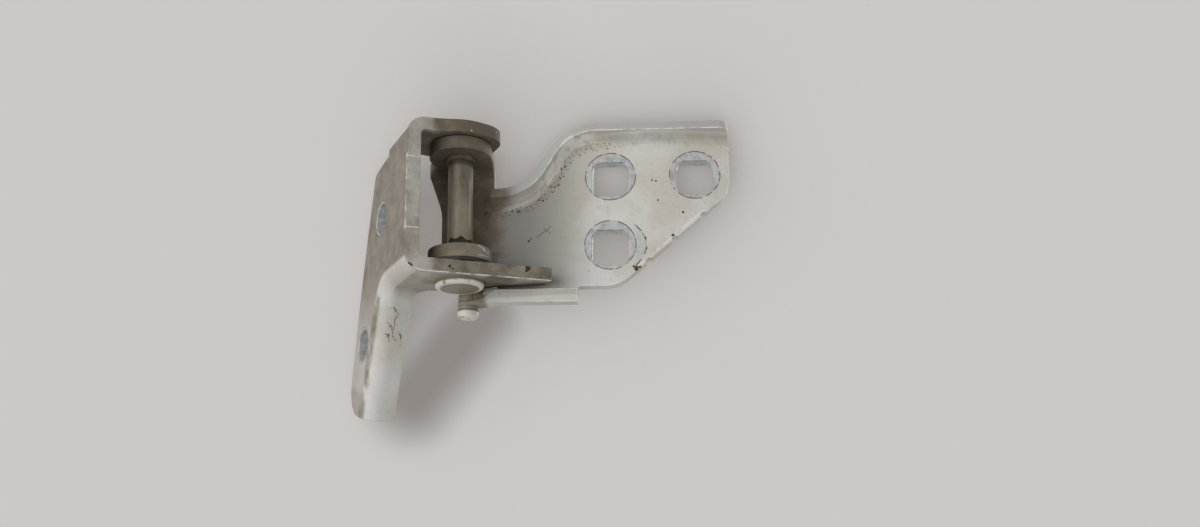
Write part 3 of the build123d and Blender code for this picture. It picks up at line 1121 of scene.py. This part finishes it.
    def grime(self, sheet: Sheet, at: BracketPlace) -> Socket:
        """Mask the grease on the ears, inside the clevis, on the web, on the leg and in the corners, and the
        painted shade under the lower ear.

        Args:
            sheet: the material to fill.
            at: where the point lies.

        Returns:
            How thick the grime is, with the painted shade.
        """
        rim = sheet.total(sheet.product(sheet.ramp(sheet.z, *self.low_ear_rim), 0.24), 0.48)
        low_ear = sheet.product(
            sheet.band(sheet.z, *self.low_ear_belt), sheet.ramp(sheet.x, *self.low_ear_side), rim
        )
        inner = sheet.product(
            sheet.ramp(sheet.x, *self.inner_side), sheet.ramp(sheet.y, *self.inner_back),
            sheet.ramp(sheet.z, *self.inner_floor), 0.7,
        )
        stain = sheet.product(at.outer, sheet.ramp(sheet.z, *self.stain_floor), 0.52)
        fade = sheet.total(sheet.product(sheet.ramp(sheet.z, *self.web_fade), -0.06), 0.52)
        web = sheet.product(sheet.ramp(sheet.y, *self.web_front), sheet.ramp(sheet.z, *self.web_floor), fade)
        runs = sheet.ramp(sheet.noise(5.0, 4, 0.6, seed=43, squeeze=(1.0, 1.0, 0.35)), 0.26, 0.54)
        ridge = sheet.product(
            sheet.band(at.across, *self.ridge_belt), sheet.ramp(sheet.z, *self.ridge_top), runs, 0.62
        )
        foot = sheet.product(at.outer, sheet.ramp(at.down, *self.foot), 0.45)
        crevice = sheet.product(sheet.ramp(sheet.hollow(self.crevice_span), 0.35, 0.8), 0.25)
        # The last mask is painted shade with grime under the lower ear.
        most = sheet.most(low_ear, at.top_ear, inner, stain, web, ridge, foot, self.under_ear_grime_and_shade(sheet))
        return sheet.total(most, crevice, 0.06)

    def under_ear_grime_and_shade(self, sheet: Sheet) -> Socket:
        """Mask the painted shade, with grime, under the lower ear, round the pin's head and on the stop
        finger.

        Args:
            sheet: the material to fill.

        Returns:
            How strong the painted shade and grime are.
        """
        head = sheet.product(sheet.ramp(sheet.reach(sheet.x, sheet.y), *self.head_reach), 0.55)
        root = sheet.total(sheet.product(sheet.ramp(sheet.x, *self.finger_root), 0.4), 0.4)
        finger = sheet.product(sheet.ramp(sheet.x, *self.finger_side), root)
        return sheet.product(sheet.band(sheet.z, *self.under_belt), sheet.most(head, finger))

    def tint_and_shade(self, sheet: Sheet, at: BracketPlace) -> Socket:
        """Mask the darkening on the bolt flange and on the leg: a grey tint of the paint and painted shade.

        Args:
            sheet: the material to fill.
            at: where the point lies.

        Returns:
            How strong the grey tint and painted shade are.
        """
        # The bolt flange's outer face is darkened as painted shade, with a grey tint.
        flange = sheet.total(sheet.product(sheet.ramp(sheet.z, *self.pale_floor), 0.5), 0.46)
        belt = sheet.product(sheet.band(sheet.z, *self.leg_belt), 0.2)
        leg = sheet.product(sheet.ramp(sheet.z, *self.leg_top), 0.1)
        return sheet.most(sheet.product(at.outer, flange), belt, leg)

    def bolt_marks(self, sheet: Sheet, at: BracketPlace) -> tuple[Socket, list[Socket]]:
        """Mark the bare metal in the bolt holes, and the dark lines round them.

        Args:
            sheet: the material to fill.
            at: where the point lies.

        Returns:
            The mask of bare metal, and the masks of the lines.
        """
        bare, lines = [], []
        for back, up in (self.upper_hole, self.lower_hole):
            away = sheet.reach(sheet.less(sheet.y, back), sheet.less(sheet.z, up))
            away = sheet.total(away, sheet.product(at.ragged, 1.6))
            bare.append(sheet.ramp(away, self.hole_radius + 0.6, self.hole_radius + 0.1))
            lines.append(sheet.product(at.outer, 0.5, sheet.band(away, self.hole_radius + 0.8, 0.1, 0.2)))
        return sheet.most(*bare), lines

    def dirt(self, sheet: Sheet, at: BracketPlace) -> list[Socket]:
        """Mark chips, the crooked scratches on the leg's wall and stray specks.

        Args:
            sheet: the material to fill.
            at: where the point lies.

        Returns:
            The masks of the marks.
        """
        frayed = sheet.product(at.ragged, 2.0)
        lines = [sheet.blob((x, y, z), radius, frayed) for x, y, z, radius in self.spots]
        wall = sheet.product(sheet.ramp(at.across, *self.wall_side), sheet.ramp(sheet.z, *self.wall_top))
        slant = sheet.total(sheet.x, at.ragged, sheet.product(sheet.waver(4.5, 3, 0.6, seed=47), 5.0))
        drop = sheet.total(at.down, sheet.product(sheet.waver(4.5, 3, 0.6, seed=53), 5.0))
        patchy = sheet.ramp(sheet.noise(2.4, 3, 0.6, seed=59), 0.3, 0.46)
        for line in self.scratches:
            lines.append(sheet.product(wall, patchy, 0.85, sheet.stroke(slant, drop, line, 0.17)))
        sparse = sheet.ramp(sheet.noise(0.9, 2, 0.5, seed=37), 0.72, 0.77)
        lines.append(sheet.product(sparse, 0.8))
        return lines

    def rubs(self, sheet: Sheet, at: BracketPlace) -> Socket:
        """Mask the paint rubbed at the web's two steps, and flecks on the upper ear.

        Args:
            sheet: the material to fill.
            at: where the point lies.

        Returns:
            How far the paint is rubbed.
        """
        wave = sheet.total(sheet.z, sheet.product(at.ragged, 0.5))
        front = sheet.ramp(sheet.y, *self.step_front)
        marks = [sheet.product(sheet.band(wave, height, 0.12, 0.14), front, 0.9) for height in self.steps]
        flecks = sheet.ramp(sheet.noise(1.2, 2, 0.5, seed=41), 0.68, 0.72)
        return sheet.most(*marks, sheet.product(flecks, at.top_ear, 0.7))

    def edge_rubs(self, sheet: Sheet) -> Socket:
        """Mask the rubbed edges under the lower ear and along the bolt flange.

        Args:
            sheet: the material to fill.

        Returns:
            How far the paint is rubbed.
        """
        under = sheet.product(sheet.ramp(sheet.z, *self.edge_under), 0.9)
        flange = sheet.product(
            sheet.ramp(sheet.x, *self.edge_side), sheet.band(sheet.z, *self.edge_belt), 0.6
        )
        return sheet.product(sheet.most(under, flange), sheet.ramp(sheet.y, *self.edge_back))

    def dress(self, edge: bool) -> bpy.types.Material:
        """Paint the clevis, the bolt flange and the leg.

        Args:
            edge: True for the strips along the broken edges, whose paint is rubbed.

        Returns:
            The finished material.
        """
        sheet = self.sheet(edge)
        at = self.places(sheet)
        bare, lines = self.bolt_marks(sheet, at)
        specks = sheet.most(*lines, *self.dirt(sheet, at))
        rubbed = self.edge_rubs(sheet) if edge else self.rubs(sheet, at)
        wear = Wear(self.grime(sheet, at), bare, specks, rubbed, tint_and_shade=self.tint_and_shade(sheet, at))
        return self.finish.coat(sheet, wear)


@dataclass
class RoundParts:
    """Pin, bushes, washer and stud: the solids as they are, in greasy steel."""

    steel: GreasySteel = GreasySteel()
    black: GreasySteel = BLACK_GREASE
    bush_grease: float = 0.55
    washer_grease: float = 0.5
    stud_grease: float = 0.08
    head_top: Fade = (-31.6, -31.7)
    head_edge: Fade = (-32.6, -33.2)
    head_face: Fade = (7.3, 7.9)
    ear_line: Fade = (15.5, 18.5)
    shank_top: Fade = (-8.0, 10.0)
    stud_line: Fade = (-40.0, -40.4)
    # A painted highlight line on the shank, in the paint colour: its turn about the pin, width, depth and
    # height.
    painted_highlight: float = math.radians(-63)
    highlight_side: Belt = (0.0, 0.1, 0.3)
    highlight_face: Fade = (3.0, 4.0)
    highlight_belt: Belt = (0.0, 8.0, 4.0)

    def dress(self) -> None:
        """Give each round piece its finish."""
        self.put(Part.PIN, self.pin())
        for part in (Part.UPPER_BUSH, Part.LOWER_BUSH):
            self.put(part, self.steel.coat(Sheet(part.value + "_grease"), self.bush_grease, 0.0))
        self.put(Part.WASHER, self.black.coat(Sheet("washer_grease"), self.washer_grease, 0.0))
        self.put(Part.STUD, self.stud())

    def pin(self) -> bpy.types.Material:
        """Make a greasy shank with a painted highlight line, and paint left on the head's rim.

        Returns:
            The finished material.
        """
        sheet = Sheet("pin_grease")
        head = sheet.ramp(sheet.z, *self.head_top)
        wavering = sheet.total(sheet.z, sheet.waver(3.0, 3, 0.6, seed=61))
        rim = sheet.product(
            sheet.ramp(wavering, *self.head_edge), sheet.ramp(sheet.reach(sheet.x, sheet.y), *self.head_face)
        )
        ends = sheet.ramp(sheet.size(sheet.z), *self.ear_line)
        # Darker towards the top of the shank.
        high = sheet.product(sheet.ramp(sheet.z, *self.shank_top), 0.2)
        dark = sheet.total(sheet.product(ends, sheet.outside(head), 0.5), high, 0.26)
        turn = Vector((math.cos(self.painted_highlight), math.sin(self.painted_highlight), 0.0))
        side = sheet.along(Vector((-turn.y, turn.x, 0.0)), Vector())
        # Painted highlight: a thin line in the paint colour down one side of the shank.
        painted_highlight = sheet.product(
            sheet.band(side, *self.highlight_side), sheet.ramp(sheet.along(turn, Vector()), *self.highlight_face),
            sheet.band(sheet.z, *self.highlight_belt), 0.55,
        )
        return self.steel.coat(sheet, dark, sheet.most(rim, painted_highlight))

    def stud(self) -> bpy.types.Material:
        """Make a brown neck and a painted cap.

        Returns:
            The finished material.
        """
        sheet = Sheet("stud_paint")
        cap = sheet.ramp(sheet.z, *self.stud_line)
        return self.steel.coat(sheet, self.stud_grease, cap)

    @staticmethod
    def put(part: Part, material: bpy.types.Material) -> None:
        """Set the only material of a solid.

        Args:
            part: the solid.
            material: its finish.
        """
        for slot in frame["nodes"][part.value].material_slots:
            slot.material = material
        LOG.info("dressed %s", part.value)


@dataclass
class PinGrease:
    """Ring of old grease where the pin enters the lower leaf ear."""

    name: str = "pin_grease"
    grease: GreasySteel = BLACK_GREASE
    thick: float = 0.6
    bore: float = 5.08
    width: float = 1.3
    height: float = 5.2
    floor: float = -19.12
    turns: int = 72
    weld: float = 0.001
    # How full the mound is: on the whole, towards its front, and in ripples round the pin.
    full: float = 0.58
    lean: float = 0.3
    front: float = math.radians(-118)
    ripple: float = 0.1
    ripples: int = 7
    ripple_start: float = 2.1
    # The mound's section, as shares of its width and height.
    section: tuple[tuple[float, float], ...] = (
        (0.0, 0.0), (0.0, 1.0), (0.12, 0.97), (0.3, 0.5), (0.65, 0.14), (1.0, 0.0),
    )

    def build(self) -> bpy.types.Object:
        """Spin a low mound round the pin and make it uneven.

        Returns:
            The ring of grease, riding on the leaf.
        """
        made = bmesh.new()
        points = [
            made.verts.new((self.bore + self.width * out, 0, self.floor + self.height * up))
            for out, up in self.section
        ]
        rim = [made.edges.new((a, b)) for a, b in zip(points, points[1:] + points[:1])]
        bmesh.ops.spin(
            made, geom=points + rim, cent=(0, 0, 0), axis=(0, 0, 1), angle=math.tau, steps=self.turns,
            use_merge=True,
        )
        bmesh.ops.remove_doubles(made, verts=made.verts, dist=self.weld)
        for vert in made.verts:
            turn = math.atan2(vert.co.y, vert.co.x)
            ripple = self.ripple * math.sin(self.ripples * turn + self.ripple_start)
            swell = self.full + self.lean * math.cos(turn - self.front) + ripple
            out = vert.co.xy.length - self.bore
            vert.co.xy = vert.co.xy.normalized() * (self.bore + out * swell)
            vert.co.z = self.floor + (vert.co.z - self.floor) * swell
        bmesh.ops.recalc_face_normals(made, faces=made.faces)
        bmesh.ops.scale(made, vec=(MM, MM, MM), verts=made.verts)
        for face in made.faces:
            face.smooth = True
        piece = show(made, self.name, self.grease.coat(Sheet("old_grease"), self.thick, 0.0))
        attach(piece, Body.LEAF.value)
        return piece


@dataclass
class LeafWeb:
    """Small web of the leaf, given by its outline and depth in the plate's directions."""

    name: str
    outline: tuple[tuple[float, float], ...]
    depth: tuple[float, float]
    edge_break: float = 0.5
    plate: PlateMap = PlateMap()

    def build(self, paint: bpy.types.Material) -> bpy.types.Object:
        """Push the outline through its depth and break its edges.

        Args:
            paint: the leaf's own finish.

        Returns:
            The web, riding on the leaf.
        """
        origin, run, rise, out = self.plate.axes()
        back, front = self.depth
        made = bmesh.new()
        corners = [made.verts.new((origin + run * u + rise * v + out * back) * MM) for u, v in self.outline]
        face = made.faces.new(corners)
        pushed = bmesh.ops.extrude_face_region(made, geom=[face], use_keep_orig=True)
        moved = [item for item in pushed["geom"] if isinstance(item, bmesh.types.BMVert)]
        bmesh.ops.translate(made, verts=moved, vec=out * (front - back) * MM)
        bmesh.ops.recalc_face_normals(made, faces=made.faces)
        bmesh.ops.bevel(
            made, geom=made.edges[:], offset=self.edge_break * MM, offset_type="OFFSET", segments=3,
            profile=0.5, affect="EDGES", material=-1, clamp_overlap=True,
        )
        for face in made.faces:
            face.smooth = True
        piece = show(made, self.name, paint)
        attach(piece, Body.LEAF.value)
        return piece


@dataclass(frozen=True)
class Lamp:
    """Square lamp that faces the hinge; its place is in metres to the right, up and ahead of the hinge."""

    name: str
    place: Point
    size: float
    power: float

    def build(self, centre: Vector, axes: Sequence[Vector]) -> None:
        """Hang the lamp and turn it to the hinge.

        Args:
            centre: the hinge's middle, in metres.
            axes: directions to the right, up and ahead in the picture.
        """
        data = bpy.data.lights.new(self.name, "AREA")
        data.size = self.size
        data.energy = self.power
        lamp = bpy.data.objects.new(self.name, data)
        place = sum((axis * share for axis, share in zip(axes, self.place)), centre.copy())
        turn = (centre - place).to_track_quat("-Z", "Y").to_matrix().to_4x4()
        lamp.matrix_world = Matrix.Translation(place) @ turn
        bpy.context.collection.objects.link(lamp)


@dataclass
class Studio:
    """Table, light and camera at the photograph's viewing angle."""

    eye: Point = (-125.96, -321.2, -131.9)
    ahead: Point = (0.4865, 0.8218, 0.2967)
    aside: Point = (0.8657, -0.4991, -0.0371)
    lens: float = 27.17
    sensor: float = 36.0
    near_clip: float = 10.0
    table_away: Point = (0.517, 0.826, 0.224)
    table_half: float = 900.0
    table: Colour = tone(203, 200, 197)
    # The shade close to the hinge, and the long soft shadow below it.
    shade: Colour = tone(150, 145, 141)
    shade_reach: float = 70.0
    shade_side: Point = (-0.6, -0.3, -1.0)
    shade_samples: int = 16
    shadow: tuple[Point, Point] = ((19.3, 25.5, -35.7), (-1.7, 48.0, -69.0))
    shadow_fade: Fade = (30.0, 4.0)
    shadow_depth: float = 0.78
    sky: float = 0.63
    sky_tone: Colour = (1.0, 0.99, 0.97, 1.0)
    lamps: tuple[Lamp, ...] = (
        Lamp("window", (-0.62, 0.25, -0.65), 0.8, 5.3),
        Lamp("fill", (0.5, 0.3, 0.7), 0.7, 3.2),
    )

    def axes(self) -> tuple[Vector, Vector, Vector]:
        """Find the picture's directions.

        Returns:
            The directions to the right, up and ahead.
        """
        ahead = Vector(self.ahead).normalized()
        aside = Vector(self.aside)
        aside = (aside - ahead * aside.dot(ahead)).normalized()
        return aside, aside.cross(ahead), ahead

    def camera(self) -> None:
        """Make the camera and set it as the scene's own."""
        aside, up, ahead = self.axes()
        data = bpy.data.cameras.new("camera")
        data.lens = self.lens
        data.sensor_width = self.sensor
        data.clip_start = self.near_clip * MM
        camera = bpy.data.objects.new("camera", data)
        turn = Matrix((aside, up, -ahead)).transposed().to_4x4()
        camera.matrix_world = Matrix.Translation(Vector(self.eye) * MM) @ turn
        bpy.context.collection.objects.link(camera)
        bpy.context.scene.camera = camera

    def floor(self) -> None:
        """Lay the table that the hinge rests on, just behind its farthest point."""
        away = Vector(self.table_away).normalized()
        depth = max(
            (solid.matrix_world @ vert.co).dot(away)
            for solid in frame["nodes"].values() for vert in solid.data.vertices
        )
        made = bmesh.new()
        bmesh.ops.create_grid(made, x_segments=1, y_segments=1, size=self.table_half * MM)
        turn = (-away).to_track_quat("Z", "Y").to_matrix().to_4x4()
        bmesh.ops.transform(made, matrix=Matrix.Translation(away * depth) @ turn, verts=made.verts)
        show(made, "table", self.film())

    def film(self) -> bpy.types.Material:
        """Make a clear film that lets the pale room through and keeps only the hinge's soft shade.

        Returns:
            The finished material.
        """
        sheet = Sheet("table_film")
        towards = sum((axis * share for axis, share in zip(self.axes(), self.shade_side)), Vector())
        near = sheet.hollow(self.shade_reach, self.shade_samples, towards.normalized())
        start, end = (Vector(place) for place in self.shadow)
        middle = (start + end) / 2
        run = (end - start).normalized()
        side = run.cross(Vector(self.table_away).normalized())
        past = sheet.less(sheet.size(sheet.along(run, middle)), (end - start).length / 2)
        gap = sheet.reach(sheet.most(past, 0.0), sheet.along(side, middle))
        shadow = sheet.product(sheet.ramp(gap, *self.shadow_fade), self.shadow_depth)
        seen = sheet.node("ShaderNodeLightPath").outputs["Is Camera Ray"]
        behind = sheet.node("ShaderNodeNewGeometry").outputs["Backfacing"]
        dark = sheet.product(sheet.most(near, shadow), seen, sheet.outside(behind))
        clear = sheet.node("ShaderNodeBsdfTransparent")
        sheet.feed(clear.inputs["Color"], sheet.mix(dark, (1, 1, 1, 1), self.shade))
        target = sheet.node("ShaderNodeOutputMaterial")
        sheet.feed(target.inputs["Surface"], clear.outputs[0])
        return sheet.material

    def room(self) -> None:
        """Make the room: a soft sky that lights the hinge, and the table's tone where the room is seen."""
        world = bpy.data.worlds.new("room")
        world.use_nodes = True
        tree = world.node_tree
        tree.nodes.clear()
        path = tree.nodes.new("ShaderNodeLightPath")
        shown = tree.nodes.new("ShaderNodeBackground")
        shown.inputs["Color"].default_value = self.table
        soft = tree.nodes.new("ShaderNodeBackground")
        soft.inputs["Color"].default_value = self.sky_tone
        soft.inputs["Strength"].default_value = self.sky
        blend = tree.nodes.new("ShaderNodeMixShader")
        seen = path.outputs["Is Camera Ray"]
        for ray in ("Is Glossy Ray", "Is Transmission Ray"):
            either = tree.nodes.new("ShaderNodeMath")
            either.operation = "MAXIMUM"
            tree.links.new(seen, either.inputs[0])
            tree.links.new(path.outputs[ray], either.inputs[1])
            seen = either.outputs[0]
        tree.links.new(seen, blend.inputs[0])
        tree.links.new(soft.outputs[0], blend.inputs[1])
        tree.links.new(shown.outputs[0], blend.inputs[2])
        target = tree.nodes.new("ShaderNodeOutputWorld")
        tree.links.new(blend.outputs[0], target.inputs["Surface"])
        bpy.context.scene.world = world

    def set_up(self) -> None:
        """Make the camera, the table, the lamps and the room."""
        self.camera()
        self.floor()
        centre = (cad_box[0] + cad_box[1]) / 2
        for lamp in self.lamps:
            lamp.build(centre, self.axes())
        self.room()
        bpy.context.scene.view_settings.view_transform = "Standard"


def main() -> None:
    """Build the hinge's looks and its studio, and log each built piece's face count."""
    logging.basicConfig(level=logging.INFO)
    Studio().set_up()
    webs = (
        LeafWeb("ear_web", ((-49.0, -31.8), (-45.6, -31.8), (-45.6, -39.6), (-49.0, -39.6)), (-5.0, -0.35)),
        LeafWeb("stud_web", ((-55.0, -54.4), (-45.2, -54.4), (-45.2, -49.3), (-55.0, -49.3)), (-1.5, 2.6)),
        LeafWeb("corner_web", ((-50.8, -52.2), (-44.6, -52.2), (-44.6, -48.95), (-50.8, -48.95)), (2.0, 5.0)),
    )
    leaf = Leaf().build()
    paint = leaf.data.materials[0]
    pieces = [leaf, *(web.build(paint) for web in webs), Bracket().build(), PinGrease().build()]
    for piece in pieces:
        LOG.info("built %s with %d faces", piece.name, len(piece.data.polygons))
    RoundParts().dress()


if __name__ == "__main__":
    main()
